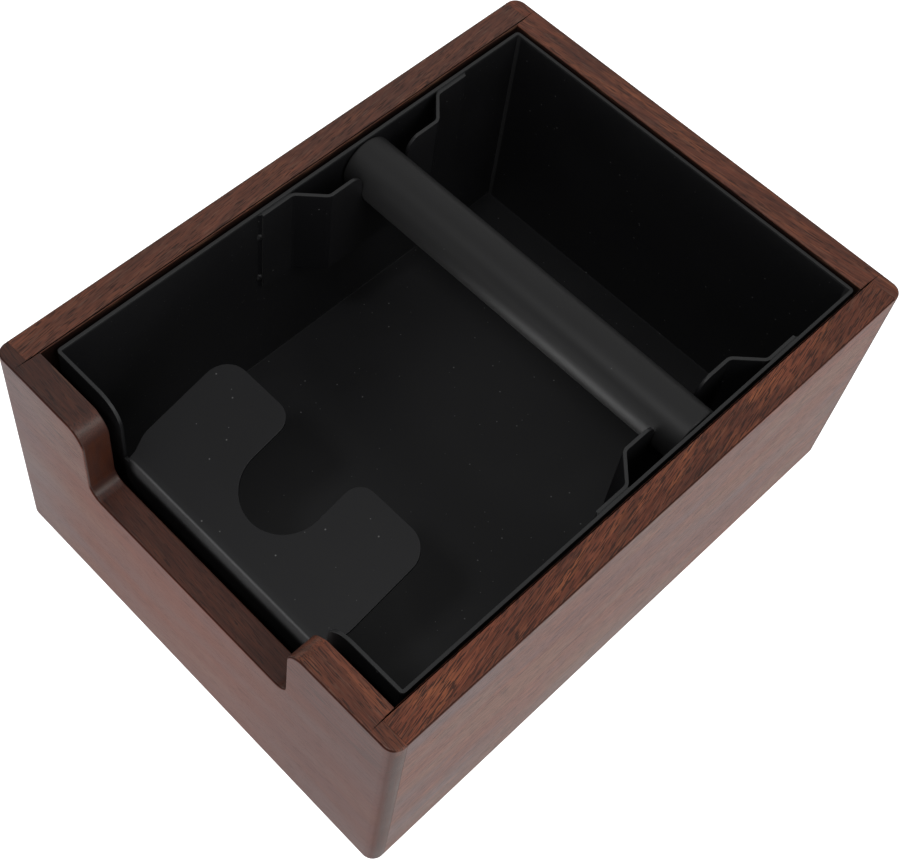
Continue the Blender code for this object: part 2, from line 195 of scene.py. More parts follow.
def prism(name, outline, low, high):
    """A solid with the same outline from low to high."""
    bm = bmesh.new()
    face = bm.faces.new([bm.verts.new((point[0], point[1], low)) for point in outline])
    raised = bmesh.ops.extrude_face_region(bm, geom=[face])["geom"]
    verts = [v for v in raised if isinstance(v, bmesh.types.BMVert)]
    bmesh.ops.translate(bm, verts=verts, vec=(0.0, 0.0, high - low))
    bmesh.ops.recalc_face_normals(bm, faces=bm.faces)
    return object_from(name, bm)


def box(name, low, high):
    outline = [(low[0], low[1]), (high[0], low[1]), (high[0], high[1]), (low[0], high[1])]
    return prism(name, outline, low[2], high[2])


def add_box(bm, middle, size):
    """Adds a box to a mesh under construction."""
    place = Matrix.Translation(middle) @ Matrix.Diagonal((*size, 1.0))
    bmesh.ops.create_cube(bm, size=1.0, matrix=place)


def turned(name, profile, steps, closed=False):
    """A shape turned about its own Z axis from (radius, height) points that run down its outer side."""
    bm = bmesh.new()
    verts = [bm.verts.new((radius, 0.0, height)) for radius, height in profile]
    for pair in zip(verts, verts[1:]):
        bm.edges.new(pair)
    if closed:
        bm.edges.new((verts[-1], verts[0]))
    obj = object_from(name, bm)
    screw = obj.modifiers.new("Turn", "SCREW")
    screw.axis = "Z"
    screw.steps = steps
    screw.render_steps = steps
    screw.use_merge_vertices = True
    screw.merge_threshold = 0.000001
    return baked(obj)


def ease(obj, radius_of):
    """Rounds an object's sharp edges, each by the radius that radius_of(middle, direction) gives."""
    bm = bmesh.new()
    bm.from_mesh(obj.data)
    bmesh.ops.remove_doubles(bm, verts=bm.verts, dist=0.000002)
    bmesh.ops.dissolve_limit(bm, angle_limit=math.radians(0.4), verts=bm.verts, edges=bm.edges)
    weight = bm.edges.layers.float.new("bevel_weight_edge")
    for edge in bm.edges:
        if edge.is_manifold and edge.calc_face_angle() > math.radians(40):
            start, end = (vert.co for vert in edge.verts)
            edge[weight] = radius_of((start + end) / 2, (end - start).normalized()) / OUTER_EASE
    bm.to_mesh(obj.data)
    bm.free()
    rounding = obj.modifiers.new("Eased edges", "BEVEL")
    rounding.limit_method = "WEIGHT"
    rounding.width = OUTER_EASE
    rounding.segments = 4
    rounding.use_clamp_overlap = False
    return finish_shading(baked(obj))


def coated_edges(obj):
    """Rounds a sheet's cut edges as powder coat does."""
    rounding = obj.modifiers.new("Coated edges", "BEVEL")
    rounding.limit_method = "ANGLE"
    rounding.angle_limit = math.radians(50)
    rounding.width = COAT_EDGE
    rounding.segments = 3
    rounding.use_clamp_overlap = False
    return finish_shading(baked(obj))


def finish_shading(obj, sharp_deg=38):
    """Smooth shading that keeps large flat faces flat."""
    obj.data.shade_smooth()
    obj.data.set_sharp_from_angle(angle=math.radians(sharp_deg))
    weighted = obj.modifiers.new("Weighted normals", "WEIGHTED_NORMAL")
    weighted.keep_sharp = True
    weighted.weight = 100
    return obj


def as_piece(obj, body, slot, mat, *nodes):
    """Gives a finished shape its material and its body, and hides the CAD nodes that it stands for. Its slot
    argument is not used.
    """
    obj.data.materials.clear()
    obj.data.materials.append(mat)
    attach(obj, body)
    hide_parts(*nodes)
    return obj


# ------------------------------------------------------------------- materials


class Finish:
    """One material's node tree, with short calls for the nodes that the finishes share."""

    def __init__(self, name):
        self.material = bpy.data.materials.new(name)
        self.material.use_nodes = True
        self.tree = self.material.node_tree
        self.tree.nodes.clear()
        self.shader = self.add("ShaderNodeBsdfPrincipled")
        output = self.add("ShaderNodeOutputMaterial")
        self.tree.links.new(self.shader.outputs["BSDF"], output.inputs["Surface"])
        self.place = self.add("ShaderNodeTexCoord").outputs["Object"]

    def add(self, kind, **settings):
        node = self.tree.nodes.new(kind)
        for key, value in settings.items():
            setattr(node, key, value)
        return node

    def feed(self, socket, value):
        """Links a socket to another node's output, or sets its own value."""
        if isinstance(value, bpy.types.NodeSocket):
            self.tree.links.new(value, socket)
        else:
            socket.default_value = value

    def set(self, **inputs):
        """Feeds the shader's inputs, named with _ for a space."""
        for key, value in inputs.items():
            self.feed(self.shader.inputs[key.replace("_", " ")], value)

    def math(self, operation, *values):
        node = self.add("ShaderNodeMath", operation=operation)
        for socket, value in zip(node.inputs, values):
            self.feed(socket, value)
        return node.outputs[0]

    def axis(self, vector, name):
        node = self.add("ShaderNodeSeparateXYZ")
        self.feed(node.inputs[0], vector)
        return node.outputs[name]

    def mapped(self, vector, scale=(1.0, 1.0, 1.0), rotation=(0.0, 0.0, 0.0), shift=(0.0, 0.0, 0.0)):
        node = self.add("ShaderNodeMapping", vector_type="POINT")
        self.feed(node.inputs["Vector"], vector)
        node.inputs["Scale"].default_value = scale
        node.inputs["Rotation"].default_value = rotation
        node.inputs["Location"].default_value = shift
        return node.outputs[0]

    def noise(self, vector, scale=1.0, detail=2.0, roughness=0.5):
        node = self.add("ShaderNodeTexNoise")
        self.feed(node.inputs["Vector"], vector)
        node.inputs["Scale"].default_value = scale
        node.inputs["Detail"].default_value = detail
        node.inputs["Roughness"].default_value = roughness
        return node.outputs[0]

    def cells(self, vector, scale):
        """Distance to the nearest of scattered points, and a random value for each point."""
        node = self.add("ShaderNodeTexVoronoi")
        self.feed(node.inputs["Vector"], vector)
        node.inputs["Scale"].default_value = scale
        return node.outputs["Distance"], self.axis(node.outputs["Color"], "X")

    def ramp(self, value, low, high, start=0.0, end=1.0):
        """A smooth step from start to end as value goes from low to high."""
        node = self.add("ShaderNodeMapRange", interpolation_type="SMOOTHSTEP")
        for socket, number in zip(node.inputs, (value, low, high, start, end)):
            self.feed(socket, number)
        return node.outputs[0]

    def mix(self, factor, a, b, blend="MIX"):
        node = self.add("ShaderNodeMix", data_type="RGBA", blend_type=blend)
        self.feed(node.inputs[0], factor)
        for socket, colour in zip(node.inputs[6:8], (a, b)):
            self.feed(socket, (*colour, 1.0) if isinstance(colour, tuple) else colour)
        return node.outputs[2]

    def stain(self, colour, shade, *masks):
        """Mixes a shade into a colour by the product of some masks."""
        factor = masks[0]
        for mask in masks[1:]:
            factor = self.math("MULTIPLY", factor, mask)
        return self.mix(factor, colour, shade)

    def bump(self, height, distance, strength=1.0):
        node = self.add("ShaderNodeBump")
        self.feed(node.inputs["Height"], height)
        node.inputs["Distance"].default_value = distance
        node.inputs["Strength"].default_value = strength
        self.set(Normal=node.outputs[0])


DEEP_STAIN = (0.040, 0.0150, 0.0110)  # as it gathers in the pores; also used to darken the outer edges


def dust(finish, spacing, size, share):
    """A mask of sparse specks of dust: their spacing, their size and the share of places that have one."""
    distance, chance = finish.cells(finish.place, 1.0 / spacing)
    near = finish.ramp(distance, 0.35 * size / spacing, size / spacing, 1.0, 0.0)
    return finish.math("MULTIPLY", near, finish.ramp(chance, 1.0 - share, 1.0 - share + 0.01))


def wood(name, along_y, shift, lean, warmth, pores, rubbed, dull, notched=False):
    """Stained open-pored wood. The grain runs along Y or X, and lean turns it a little in plan."""
    f = Finish(name)
    turn = math.radians(lean - 90 if along_y else lean)
    leaning = f.mapped(f.place, rotation=(0.0, math.radians(1.2), turn), shift=shift)
    board_turn = math.radians(-90 if along_y else 0)
    straight = f.mapped(f.place, rotation=(0.0, math.radians(1.2), board_turn), shift=shift)

    # The outer faces were sanded along the board, and show less of the figure and of the pores.
    normal = f.add("ShaderNodeTexCoord").outputs["Normal"]
    through = f.math("ABSOLUTE", f.axis(normal, "X" if along_y else "Y"))
    sanded = f.ramp(through, 0.5, 0.9)
    contrast = f.ramp(sanded, 0.0, 1.0, 1.0, 0.45)
    grain = f.mix(sanded, leaning, straight)
    drift = f.noise(f.mapped(grain, scale=(7.0, 14.0, 14.0)), detail=2.0)

    # Growth rings about a pith that lies outside the board.
    across = f.math("ADD", f.axis(grain, "Y"), 0.055)
    height = f.math("SUBTRACT", f.axis(grain, "Z"), 0.045)
    radius = f.math("SQRT", f.math("ADD", f.math("POWER", across, 2.0), f.math("POWER", height, 2.0)))
    wander = f.math("MULTIPLY", drift, 0.030)
    turns = f.math("MULTIPLY", f.math("ADD", radius, wander), math.tau / 0.0052)
    ring = f.ramp(f.math("SINE", turns), -0.2, 1.0)

    patches = f.noise(f.mapped(grain, scale=(11.0, 42.0, 42.0)), detail=3.0)
    figure = f.noise(f.mapped(grain, scale=(48.0, 300.0, 300.0)), detail=3.0)
    fibre = f.noise(f.mapped(grain, scale=(110.0, 2100.0, 2100.0)), detail=2.0)
    pale = f.noise(f.mapped(grain, scale=(150.0, 1900.0, 1900.0), shift=(0.4, 0.2, 0.1)), detail=1.0)
    vessels = f.noise(f.mapped(grain, scale=(210.0, 2900.0, 2900.0)), detail=1.0)
    threshold = f.math("SUBTRACT", 0.70 - 0.11 * pores, f.math("MULTIPLY", figure, 0.12))
    pore = f.ramp(f.math("SUBTRACT", vessels, threshold), 0.0, 0.06)

    colour = f.mix(f.ramp(patches, 0.35, 0.65), (0.178, 0.0520, 0.0290), (0.292, 0.0820, 0.0415))
    colour = f.stain(colour, (0.420, 0.1300, 0.0560), f.ramp(figure, 0.45, 0.72, 0.0, warmth), contrast)
    colour = f.stain(colour, (0.085, 0.0280, 0.0190), ring, 0.42, contrast)
    shade = f.math("MULTIPLY_ADD", f.ramp(fibre, 0.25, 0.75, -0.36, 0.36), contrast, 1.0)
    grey = f.add("ShaderNodeCombineColor")
    for socket in grey.inputs:
        f.feed(socket, shade)
    colour = f.mix(1.0, colour, grey.outputs[0], "MULTIPLY")
    colour = f.mix(dull, colour, (0.150, 0.0760, 0.0560))
    streak = f.ramp(pale, 0.56, 0.70, 0.0, 0.25 + 0.5 * dull)
    colour = f.stain(colour, (0.260, 0.1450, 0.1000), streak, contrast)
    tint = f.noise(f.mapped(grain, scale=(17.0, 60.0, 60.0), shift=(0.7, 0.1, 0.5)), detail=2.0)
    colour = f.stain(colour, (0.120, 0.0660, 0.0820), sanded, f.ramp(tint, 0.52, 0.64, 0.0, 0.30))
    colour = f.stain(colour, (0.300, 0.1500, 0.0850), sanded, f.ramp(tint, 0.36, 0.48, 0.35, 0.0))

    pore = f.math("MULTIPLY", pore, f.ramp(sanded, 0.0, 1.0, 1.0, 0.80))
    filled = f.ramp(figure, 0.35, 0.65, 0.45 + 0.25 * pores, 0.85)
    colour = f.stain(colour, DEEP_STAIN, pore, filled)

    # End grain drinks more stain.
    facing = f.math("ABSOLUTE", f.axis(normal, "Y" if along_y else "X"))
    colour = f.mix(f.ramp(facing, 0.55, 0.95, 0.0, 0.45), colour, (0.090, 0.0300, 0.0180))
    x, y, z = (f.axis(f.place, name) for name in "XYZ")
    if notched:
        colour = notch_stain_and_shading(f, colour, x, z, normal)

    # Darker along the outer edges, and painted shade on the inner faces below their edge, strongest near the
    # top, for the dark gap between case and liner.
    depth = f.math("SUBTRACT", f.math("ABSOLUTE", x if along_y else y), INNER_X if along_y else INNER_Y)
    below = f.math("ABSOLUTE", f.math("SUBTRACT", CASE_TOP, z))
    turning = f.math("MULTIPLY", f.ramp(through, 0.25, 0.50), f.ramp(through, 0.80, 0.95, 1.0, 0.0))
    outer_edge = f.math("MULTIPLY", turning, f.ramp(depth, BOARD - 0.0025, BOARD - 0.0015))
    upright = f.ramp(f.math("ABSOLUTE", f.axis(normal, "Z")), 0.05, 0.30, 0.30, 1.0)
    outer_edge = f.math("MULTIPLY", outer_edge, upright)
    colour = f.stain(colour, DEEP_STAIN, outer_edge, 0.75)
    # Painted shade: the inner faces go near black just below their top edge, less dark further down.
    gap_shade, gap_shade_fade = f.ramp(depth, 0.0001, 0.0005, 1.0, 0.0), f.ramp(below, 0.008, 0.045, 0.93, 0.40)
    colour = f.stain(colour, (0.010, 0.0060, 0.0050), gap_shade, f.ramp(below, 0.0002, 0.0009), gap_shade_fade)

    # It has rubbed off here and there along the inner top edges.
    away = f.math("ADD", f.math("ABSOLUTE", depth), f.math("MULTIPLY", below, 0.6))
    rub = f.ramp(away, 0.0003, 0.0012, rubbed, 0.0)
    broken = f.ramp(f.noise(f.mapped(grain, scale=(60.0, 500.0, 500.0)), detail=2.0), 0.48, 0.66)
    colour = f.stain(colour, (0.30, 0.150, 0.090), rub, broken)

    face_shine = f.ramp(x, -0.085, -0.045, 0.5, 0.30) if notched else 0.5
    shine = f.ramp(sanded, 0.0, 1.0, 0.5, face_shine)
    shine = f.math("SUBTRACT", shine, f.math("MULTIPLY", outer_edge, 0.42))
    f.set(Base_Color=colour, IOR=1.5, Specular_IOR_Level=shine)
    sheen = f.math("ADD", f.ramp(patches, 0.3, 0.7, 0.34, 0.42), f.math("MULTIPLY", pore, 0.06))
    f.set(Roughness=sheen)
    relief = f.math("SUBTRACT", f.math("MULTIPLY", fibre, 0.25), pore)
    f.bump(relief, 0.00003, 0.6)
    return f.material


def notch_stain_and_shading(f, colour, x, z, normal):
    """Darker stain at the notched board's left end and in its notch, where it is partly painted shade, a
    painted sheen of paler mauve-grey on the left end of its front face, and thinner stain with a painted
    highlight on the notch's rounded corners.
    """
    flat = f.ramp(f.math("ABSOLUTE", f.axis(normal, "Y")), 0.5, 0.8, 1.0, 0.0)
    face = f.math("SUBTRACT", 1.0, flat)
    colour = f.stain(colour, (0.050, 0.0290, 0.0270), flat, f.ramp(x, -0.060, -0.020, 0.65, 0.0))
    colour = f.stain(colour, (0.250, 0.0740, 0.0500), face, f.ramp(x, -0.085, -0.035, 0.15, 0.50))
    # Painted sheen: paler mauve-grey on the left end of the front face.
    colour = f.stain(colour, (0.190, 0.1150, 0.1200), face, f.ramp(x, -0.085, -0.045, 0.60, 0.0))
    colour = f.stain(colour, (0.090, 0.0500, 0.0500), face, f.ramp(x, 0.010, 0.060, 0.0, 0.35))
    dipping = f.mapped(f.place, scale=(95.0, 2600.0, 2600.0), rotation=(0.0, math.radians(-3.0), 0.0))
    lines = f.noise(dipping, detail=1.0)
    towards_top = f.ramp(z, CASE_TOP - 0.045, CASE_TOP - 0.010, 0.0, 0.65)
    lines = f.math("MULTIPLY", f.ramp(lines, 0.55, 0.66), towards_top)
    colour = f.stain(colour, (0.055, 0.0320, 0.0300), face, lines)
    # The notch's walls and floor are darker below the top: partly stain, partly painted shade of the recess.
    low = f.ramp(z, CASE_TOP - 0.0060, CASE_TOP - 0.0025, 1.0, 0.0)
    colour = f.stain(colour, (0.045, 0.0165, 0.0130), flat, low, 0.62)
    streaks = f.noise(f.mapped(f.place, scale=(900.0, 900.0, 80.0)), detail=2.0)
    cheek = f.ramp(f.math("ABSOLUTE", f.axis(normal, "X")), 0.9, 1.0)
    colour = f.stain(colour, (0.110, 0.0300, 0.0120), low, cheek, f.ramp(streaks, 0.35, 0.65, 0.2, 0.75))
    # Paler on the notch's shoulder and bottom corner: partly thinner stain, partly painted highlight.
    for centre_x, centre_z, reach in (
        (NOTCH_HALF_WIDTH + 0.0026, CASE_TOP - 0.0012, 0.0017),
        (NOTCH_HALF_WIDTH - 0.0016, NOTCH_FLOOR + 0.0014, 0.0014),
    ):
        across = f.math("SUBTRACT", f.math("ABSOLUTE", x), centre_x)
        up = f.math("SUBTRACT", z, centre_z)
        away = f.math("SQRT", f.math("ADD", f.math("POWER", across, 2.0), f.math("POWER", up, 2.0)))
        thin_stain_and_glint = f.ramp(away, reach * 0.2, reach, 0.32, 0.0)
        colour = f.stain(colour, (0.150, 0.1050, 0.0820), thin_stain_and_glint, flat)
    return colour


def base_panel():
    """Plywood with a plain stained face."""
    f = Finish("base_panel_veneer")
    grain = f.mapped(f.place, scale=(240.0, 12.0, 240.0))
    streaks = f.noise(grain, detail=4.0, roughness=0.6)
    fine = f.noise(f.mapped(f.place, scale=(2200.0, 120.0, 2200.0)), detail=1.0)
    colour = f.mix(f.ramp(streaks, 0.3, 0.7), (0.070, 0.027, 0.017), (0.165, 0.066, 0.038))
    colour = f.mix(f.ramp(fine, 0.60, 0.72, 0.0, 0.7), colour, (0.028, 0.012, 0.009))
    f.set(Base_Color=colour, Roughness=f.ramp(streaks, 0.3, 0.7, 0.52, 0.64))
    f.bump(fine, 0.00004, 0.6)
    return f.material


def powder_coat():
    """Near-black satin powder coat with a slight orange peel and a little dust."""
    f = Finish("black_powder_coat")
    cloud = f.noise(f.place, scale=35.0, detail=2.0)
    peel = f.noise(f.place, scale=1500.0, detail=2.0, roughness=0.6)
    colour = f.mix(cloud, (0.0122, 0.0122, 0.0134), (0.0156, 0.0156, 0.0172))
    specks = f.math("MAXIMUM", dust(f, 0.0048, 0.00036, 0.50), dust(f, 0.0030, 0.00022, 0.30))
    colour = f.mix(specks, colour, (0.20, 0.20, 0.20))

    # Painted highlights on the upper rims and on the lip at the notch's curve, and painted light on a band of
    # the front wall under the rest's fold.
    height = f.axis(f.place, "Z")
    rim_highlight = f.ramp(height, BRACKET_HIGH.z - 0.0006, BRACKET_HIGH.z - 0.0002)
    depth = f.axis(f.place, "Y")
    normal = f.add("ShaderNodeTexCoord").outputs["Normal"]
    upward = f.ramp(f.axis(normal, "Z"), 0.15, 0.45)
    lip = f.math("MULTIPLY", f.ramp(depth, PAN_LOW.y + 0.0011, PAN_LOW.y + 0.0014, 1.0, 0.0), upward)
    lip = f.math("MULTIPLY", lip, f.ramp(height, REST_FOLD_Z + 0.0010, REST_FOLD_Z + 0.0030))
    rim_highlight = f.math("MAXIMUM", rim_highlight, lip)
    # Painted light: a light grey band on the front wall's outer face just below the rest's fold, between the
    # notch's sides.
    front = f.ramp(depth, PAN_LOW.y + 0.0002, PAN_LOW.y + 0.0008, 1.0, 0.0)
    upper = f.ramp(height, REST_FOLD_Z - 0.0110, REST_FOLD_Z - 0.0040)
    off_middle = f.math("ABSOLUTE", f.axis(f.place, "X"))
    within = f.ramp(off_middle, REST_FOLD_HALF_WIDTH - 0.0040, REST_FOLD_HALF_WIDTH + 0.0004, 1.0, 0.0)
    past = f.ramp(height, REST_FOLD_Z + 0.0004, REST_FOLD_Z + 0.0008, 1.0, 0.0)
    fold_band_light = f.math("MULTIPLY", f.math("MULTIPLY", front, within), f.math("MULTIPLY", upper, past))
    highlight_patchiness = f.ramp(cloud, 0.25, 0.7, 0.75, 1.0)
    colour = f.stain(colour, (0.046, 0.047, 0.048), rim_highlight, highlight_patchiness)
    colour = f.stain(colour, (0.130, 0.132, 0.135), fold_band_light, highlight_patchiness)
    # Painted light on the front-facing end faces of the bracket flanges, which sit in shade.
    end_face_light = f.ramp(f.axis(normal, "Y"), -0.90, -0.60, 1.0, 0.0)
    end_face_light = f.math("MULTIPLY", end_face_light, f.ramp(off_middle, FLANGE_X - 0.0010, FLANGE_X - 0.0006))
    inner = f.ramp(depth, PAN_LOW.y + 0.0020, PAN_LOW.y + 0.0030)
    colour = f.stain(colour, (0.045, 0.045, 0.046), end_face_light, inner)

    # The coat is duller in the folds at the floor, in the upright corners and on the rest.
    rising = f.axis(normal, "Z")
    crease = f.math("MULTIPLY", f.ramp(rising, 0.10, 0.30), f.ramp(rising, 0.93, 0.995, 1.0, 0.0))
    crease = f.math("MULTIPLY", crease, f.ramp(height, PAN_LOW.z + 0.0035, PAN_LOW.z + 0.0045, 0.30, 0.0))
    sideways = f.math("MULTIPLY", f.axis(normal, "X"), f.axis(normal, "Y"))
    corner = f.ramp(f.math("ABSOLUTE", sideways), 0.08, 0.30, 0.0, 0.38)
    upright = f.math("MULTIPLY", corner, f.ramp(rising, 0.1, 0.3, 1.0, 0.0))
    crease = f.math("MAXIMUM", crease, upright)
    rest = f.math("MULTIPLY", f.ramp(rising, 0.80, 0.90), f.ramp(height, REST_FOLD_Z, REST_FOLD_Z + 0.0010))
    under_rims = f.ramp(height, BRACKET_HIGH.z - 0.0060, BRACKET_HIGH.z - 0.0040, 0.12, 0.0)
    rest = f.math("MULTIPLY", rest, under_rims)
    dull = f.math("ADD", crease, rest)
    f.set(Base_Color=colour, IOR=1.5, Specular_IOR_Level=f.math("SUBTRACT", 0.5, dull))
    f.set(Roughness=f.math("ADD", f.ramp(cloud, 0.3, 0.7, 0.40, 0.48), f.math("MULTIPLY", peel, 0.06)))
    f.bump(peel, 0.00005, 0.35)
    return f.material


def bar_rubber():
    """Matte moulded rubber, finely grained and with a few specks of dust."""
    f = Finish("bar_rubber_matte")
    cloud = f.noise(f.mapped(f.place, scale=(18.0, 60.0, 60.0)), detail=3.0)
    grain = f.noise(f.place, scale=2600.0, detail=1.0)
    colour = f.mix(cloud, (0.0215, 0.0215, 0.0220), (0.0275, 0.0275, 0.0280))
    colour = f.mix(dust(f, 0.0055, 0.00028, 0.40), colour, (0.13, 0.13, 0.13))
    f.set(Base_Color=colour, IOR=1.5, Roughness=f.ramp(cloud, 0.3, 0.7, 0.44, 0.50))
    f.bump(grain, 0.00003, 0.35)
    return f.material


def foot_rubber():
    f = Finish("foot_rubber_moulded")
    grain = f.noise(f.place, scale=1800.0, detail=2.0)
    colour = f.mix(grain, (0.010, 0.010, 0.010), (0.020, 0.020, 0.020))
    f.set(Base_Color=colour, Roughness=f.ramp(grain, 0.3, 0.7, 0.62, 0.78))
    f.bump(grain, 0.00005, 0.4)
    return f.material


def plated_steel():
    """Bright zinc plating over turned steel, with fine rings about X for the bar's core."""
    f = Finish("zinc_plated_steel")
    lines = f.noise(f.mapped(f.place, scale=(5200.0, 160.0, 160.0)), detail=2.0)
    cloud = f.noise(f.place, scale=160.0, detail=3.0)
    colour = f.mix(cloud, (0.56, 0.57, 0.58), (0.68, 0.68, 0.67))
    rough = f.math("ADD", f.ramp(cloud, 0.3, 0.7, 0.24, 0.34), f.math("MULTIPLY", lines, 0.08))
    f.set(Base_Color=colour, Metallic=1.0, Roughness=rough)
    f.bump(lines, 0.00001, 0.3)
    return f.material


# ------------------------------------------------------------------ wooden case


def end_board_outline(side):
    """The plan of the front or back board, whose ends are housed for the side boards."""
    housing = INNER_Y + HOUSING_DEPTH
    half = [
        (OUTER_X, OUTER_Y, CORNER_RADIUS),
        (OUTER_X, housing, 0),
        (INNER_X, housing, JOINT_CORNER_RADIUS),
        (INNER_X, INNER_Y, 0),
    ]
    corners = half + [(-x, y, radius) for x, y, radius in reversed(half)]
    return rounded_outline([(x, side * y, radius) for x, y, radius in corners])


def side_board_outline(side):
    """The plan of a side board, which runs into the housings of the front and back boards."""
    end = INNER_Y + HOUSING_DEPTH - JOINT_GAP
    inner, round_off = INNER_X + JOINT_GAP, JOINT_CORNER_RADIUS - JOINT_GAP
    corners = [
        (inner, -end, round_off),
        (OUTER_X, -end, 0),
        (OUTER_X, end, 0),
        (inner, end, round_off),
    ]
    return rounded_outline([(side * x, y, radius) for x, y, radius in corners])


def rebate():
    """What the base board takes out of the walls' lower edge."""
    low = BASE_LOW - Vector((REBATE_CLEARANCE, REBATE_CLEARANCE, OVERSIZE))
    high = BASE_HIGH + Vector((REBATE_CLEARANCE,) * 3)
    return box("rebate", low, high)


def notch():
    """The opening in the front board, with rounded shoulders and floor corners."""
    top = CASE_TOP + 0.0002
    beyond = NOTCH_HALF_WIDTH + NOTCH_SHOULDER_RADIUS + 0.001
    right = [
        (NOTCH_HALF_WIDTH, NOTCH_FLOOR, NOTCH_CORNER_RADIUS),
        (NOTCH_HALF_WIDTH, top, NOTCH_SHOULDER_RADIUS),
        (beyond, top, 0),
        (beyond, top + OVERSIZE, 0),
    ]
    outline = rounded_outline(right + [(-x, z, radius) for x, z, radius in reversed(right)])
    obj = prism("notch", outline, INNER_Y - OVERSIZE, OUTER_Y + OVERSIZE)
    obj.data.transform(Matrix.Rotation(math.pi / 2, 4, "X"))
    return obj


def board_ease(middle, direction):
    """How round each edge of a board is: outer, inner and bottom edges, and tight ones at the joints."""
    x, y, z = abs(middle.x), abs(middle.y), middle.z
    upright = abs(direction.z) > 0.9
    in_notch = middle.y < 0 and x < NOTCH_HALF_WIDTH + NOTCH_SHOULDER_RADIUS and z > NOTCH_FLOOR - TOLERANCE
    outside = OUTER_X - x < NEAR_OUTSIDE or OUTER_Y - y < NEAR_OUTSIDE
    if upright and not in_notch:
        return JOINT_EASE
    if outside:
        return BOTTOM_EASE if z < CASE_BOTTOM + TOLERANCE else OUTER_EASE
    along_inner_face = abs(y - INNER_Y) < TOLERANCE or (abs(x - INNER_X) < 0.0001 and y < INNER_Y - 0.02)
    if along_inner_face and z > BASE_HIGH.z + 0.001:
        return INNER_EASE
    return JOINT_EASE


def make_case():
    """Four boards, each with its own piece of wood."""
    finishes = {
        "front_board": wood("wood_front", False, (0.31, 0.02, 0.0), 3.0, 0.45, 0.6, 0.3, 0.20, notched=True),
        "back_board": wood("wood_back", False, (0.93, 0.37, 0.1), -5.0, 0.80, 0.7, 0.3, 0.15),
        "left_board": wood("wood_left", True, (0.55, 0.71, 0.2), -6.0, 0.50, 0.75, 0.7, 0.40),
        "right_board": wood("wood_right", True, (0.12, 0.13, 0.3), -12.0, 0.95, 1.0, 0.15, 0.0),
    }
    for end, side in (("front", -1), ("back", 1)):
        board = prism(f"case_{end}", end_board_outline(side), CASE_BOTTOM, CASE_TOP)
        cut(board, rebate())
        if end == "front":
            cut(board, notch())
        ease(board, board_ease)
        as_piece(board, "case", "stained_wood", finishes[f"{end}_board"], f"{end}_board")
    for hand, side in (("left", -1), ("right", 1)):
        board = prism(f"case_{hand}", side_board_outline(side), CASE_BOTTOM, CASE_TOP)
        cut(board, rebate())
        ease(board, board_ease)
        as_piece(board, "case", "stained_wood", finishes[f"{hand}_board"], f"{hand}_board")


def make_base():
    """The base board with a blind recess for each foot, then the feet and their screws."""
    base = box("case_base", BASE_LOW, BASE_HIGH)
    rubber, steel = foot_rubber(), plated_steel()
    for end in ("front", "back"):
        for hand in ("left", "right"):
            low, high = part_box(f"foot_{end}_{hand}")
            centre = (low + high) / 2
            place = Vector((centre.x, centre.y, CASE_BOTTOM))
            radius = (high.x - low.x) / 2 + FOOT_CLEARANCE
            depth = high.z - CASE_BOTTOM + FOOT_CLEARANCE
            hole = BASE_HIGH.z - CASE_BOTTOM - 0.001
            profile = [(0.0, hole), (SCREW_HOLE_RADIUS, hole), (SCREW_HOLE_RADIUS, depth)]
            profile += [(radius, depth), (radius, -OVERSIZE), (0.0, -OVERSIZE)]
            recess = turned("recess", profile, 64)
            recess.data.transform(Matrix.Translation(place))
            cut(base, recess)
            make_foot(f"rubber_foot_{end}_{hand}", low, high, place, rubber, f"foot_{end}_{hand}")
            make_screw(f"screw_{end}_{hand}", place, steel, f"foot_screw_{end}_{hand}")
    ease(base, lambda middle, direction: BASE_EASE)
    as_piece(base, "case", "base_panel", base_panel(), "base_board")


def make_foot(name, low, high, place, mat, node):
    """A moulded disc with a rounded lip, a stepped bore and a fine ring on the face it stands on."""
    radius, top, bottom = (high.x - low.x) / 2, high.z - CASE_BOTTOM, low.z - CASE_BOTTOM
    lip, edge, sink, seat = 0.0008, 0.0003, 0.0038, 0.0008
    profile = [(SCREW_HOLE_RADIUS, top), (radius - edge, top), (radius, top - edge)]
    profile += arc((radius - lip, bottom + lip), lip, 0, -90, 6)
    groove, half_width = radius - 0.0022, 0.0004
    profile += [(groove + half_width, bottom), (groove, bottom + edge), (groove - half_width, bottom)]
    profile += arc((sink + edge, bottom + edge), edge, -90, -180, 3)
    profile += [(sink, seat), (SCREW_HOLE_RADIUS, seat)]
    foot = turned(name, profile, 72, closed=True)
    foot.data.transform(Matrix.Translation(place))
    finish_shading(foot)
    as_piece(foot, "case", "foot_rubber", mat, node)


def make_screw(name, place, mat, node):
    """A pan-head wood screw with a cross recess, its shank in the base board."""
    head_radius, face, seat, shank, tip = 0.0032, -0.0012, 0.0005, 0.0015, 0.0065
    profile = [(0.0, tip), (shank, tip - 0.0015), (shank, seat), (head_radius, seat)]
    profile += arc((head_radius - 0.0009, face + 0.0010), 0.0009, 0, -70, 7)
    profile += [(head_radius * 0.4, face + 0.00003), (0.0, face)]
    screw = turned(name, profile, 48)
    slot, reach = 0.0004, 0.0018
    for half_x, half_y in ((reach, slot), (slot, reach)):
        outline = rounded_outline([
            (-half_x, -half_y, slot * 0.5),
            (half_x, -half_y, slot * 0.5),
            (half_x, half_y, slot * 0.5),
            (-half_x, half_y, slot * 0.5),
        ])
        cut(screw, prism("cross", outline, face - OVERSIZE, face + 0.0011))
    screw.data.transform(Matrix.Translation(place))
    finish_shading(screw)
    as_piece(screw, "case", "plated_steel", mat, node)


# ------------------------------------------------------------------------ liner


